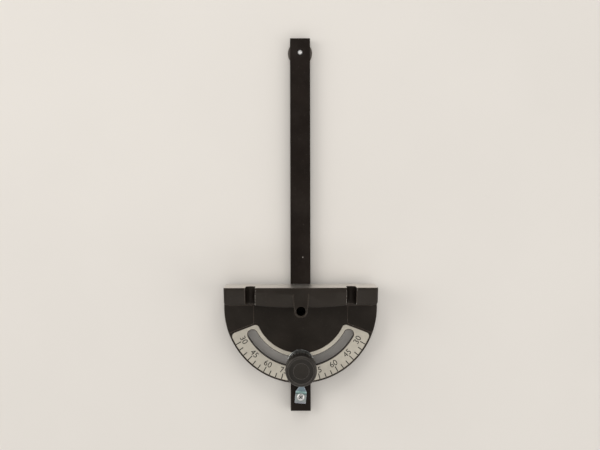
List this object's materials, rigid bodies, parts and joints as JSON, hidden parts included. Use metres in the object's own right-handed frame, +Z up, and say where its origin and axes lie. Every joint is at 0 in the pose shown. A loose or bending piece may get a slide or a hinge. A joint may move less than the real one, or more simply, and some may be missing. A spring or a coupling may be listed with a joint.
{
  "type": "miter gauge",
  "caption": "Table saw miter gauge: black cast protractor head with silver angle scale, swivelling on a flat steel guide bar and locked by a round knob.",
  "frame": {"origin": "middle of the guide bar's underside, on the table slot's floor", "axes": "+Z up, +Y along the bar towards its far end with the retaining disc, +X to the right of a user who pushes the gauge along +Y"},
  "size_m": [0.1426, 0.35, 0.059],
  "materials": {
    "bar_steel": "black oxide steel, satin, with lightly worn edges",
    "head_casting": "die-cast aluminium in glossy black enamel, faint casting texture",
    "scale_plate": "brushed aluminium with black printed graduations",
    "knob_plastic": "moulded black plastic, semi-gloss, lightly scuffed rim",
    "zinc_steel": "bright zinc plating with a bluish passivation",
    "dark_zinc": "dark grey phosphated steel",
    "screw_steel": "plain bright steel"
  },
  "bodies": {
    "bar": {"guide_bar": "bar_steel", "retaining_disc": "dark_zinc", "disc_screw": "screw_steel", "pivot_screw": "bar_steel", "pointer": "zinc_steel", "pointer_screw": "zinc_steel"},
    "head": {"protractor_head": "head_casting", "angle_scale": "scale_plate", "pivot_washer": "zinc_steel"},
    "clamp_washer": {"knob_washer": "zinc_steel"},
    "knob": {"clamp_knob": "knob_plastic", "knob_cap": "knob_plastic", "knob_stud": "zinc_steel"}
  },
  "joints": [
    {"name": "head_swivel", "type": "hinge", "parent": "bar", "child": "head", "pos_m": [0, -0.0763, 0.0128], "axis": [0, 0, 1], "range_deg": [-60, 60]},
    {"name": "clamp_lift", "type": "slide", "parent": "bar", "child": "clamp_washer", "axis": [0, 0, 1], "range_m": [0, 0.0025]},
    {"name": "clamp_turn", "type": "hinge", "parent": "clamp_washer", "child": "knob", "pos_m": [0, -0.1279, 0.0176], "axis": [0, 0, 1], "range_deg": [0, 720]}
  ],
  "couplings": [
    {"joint": "clamp_turn", "follows": "clamp_lift", "rad_per_m": 5026.5}
  ]
}
